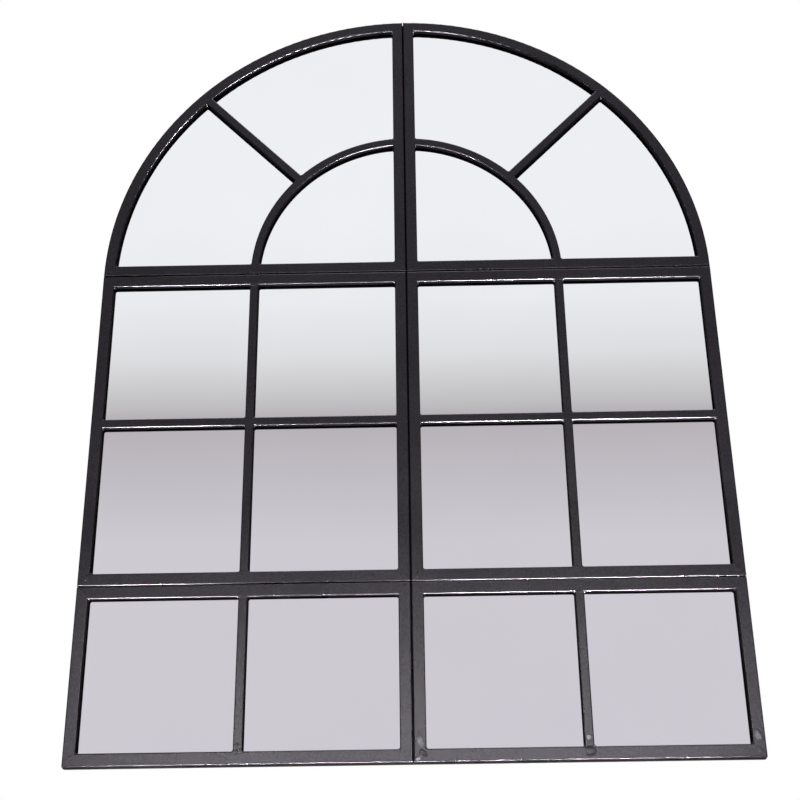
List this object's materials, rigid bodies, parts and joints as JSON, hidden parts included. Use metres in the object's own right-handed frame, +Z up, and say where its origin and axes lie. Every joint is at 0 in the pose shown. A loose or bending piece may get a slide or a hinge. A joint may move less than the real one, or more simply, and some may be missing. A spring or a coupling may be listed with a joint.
{
  "type": "arched window mirror",
  "caption": "Wall mirror shaped like an arched window: bolted steel panels with glazing bars over mirror sheets, hung on two keyholes.",
  "frame": {"origin": "midway between the two keyholes' round entries, on the wall plane", "axes": "+X to the viewer's right, +Y into the wall, +Z up; the mirror faces -Y"},
  "size_m": [1.1, 0.026, 1.402],
  "materials": {
    "frame_steel": "satin black powder coat, fine texture, weld marks at the joints",
    "mirror_sheet": "polished silvered glass",
    "backboard": "plain hardboard",
    "fastener": "zinc plated"
  },
  "bodies": {
    "root": {"left_arch_outer_rail": "frame_steel", "left_arch_seam_stile": "frame_steel", "left_arch_base_rail": "frame_steel", "left_arch_inner_arc": "frame_steel", "left_arch_spoke": "frame_steel", "left_arch_mirror": "mirror_sheet", "left_arch_backboard": "backboard", "left_arch_board_tabs": "frame_steel", "left_arch_hanger_plate": "frame_steel", "left_mid_outer_stile": "frame_steel", "left_mid_seam_stile": "frame_steel", "left_mid_top_rail": "frame_steel", "left_mid_bottom_rail": "frame_steel", "left_mid_upright_bar": "frame_steel", "left_mid_cross_bar_outer": "frame_steel", "left_mid_cross_bar_inner": "frame_steel", "left_mid_mirror": "mirror_sheet", "left_mid_backboard": "backboard", "left_mid_board_tabs": "frame_steel", "left_low_outer_stile": "frame_steel", "left_low_seam_stile": "frame_steel", "left_low_top_rail": "frame_steel", "left_low_bottom_rail": "frame_steel", "left_low_upright_bar": "frame_steel", "left_low_mirror": "mirror_sheet", "left_low_backboard": "backboard", "left_low_board_tabs": "frame_steel", "right_arch_outer_rail": "frame_steel", "right_arch_seam_stile": "frame_steel", "right_arch_base_rail": "frame_steel", "right_arch_inner_arc": "frame_steel", "right_arch_spoke": "frame_steel", "right_arch_mirror": "mirror_sheet", "right_arch_backboard": "backboard", "right_arch_board_tabs": "frame_steel", "right_arch_hanger_plate": "frame_steel", "right_mid_outer_stile": "frame_steel", "right_mid_seam_stile": "frame_steel", "right_mid_top_rail": "frame_steel", "right_mid_bottom_rail": "frame_steel", "right_mid_upright_bar": "frame_steel", "right_mid_cross_bar_outer": "frame_steel", "right_mid_cross_bar_inner": "frame_steel", "right_mid_mirror": "mirror_sheet", "right_mid_backboard": "backboard", "right_mid_board_tabs": "frame_steel", "right_low_outer_stile": "frame_steel", "right_low_seam_stile": "frame_steel", "right_low_top_rail": "frame_steel", "right_low_bottom_rail": "frame_steel", "right_low_upright_bar": "frame_steel", "right_low_mirror": "mirror_sheet", "right_low_backboard": "backboard", "right_low_board_tabs": "frame_steel", "seam_bolts": "fastener", "seam_nuts": "fastener", "seam_washers": "fastener"}
  },
  "joints": []
}
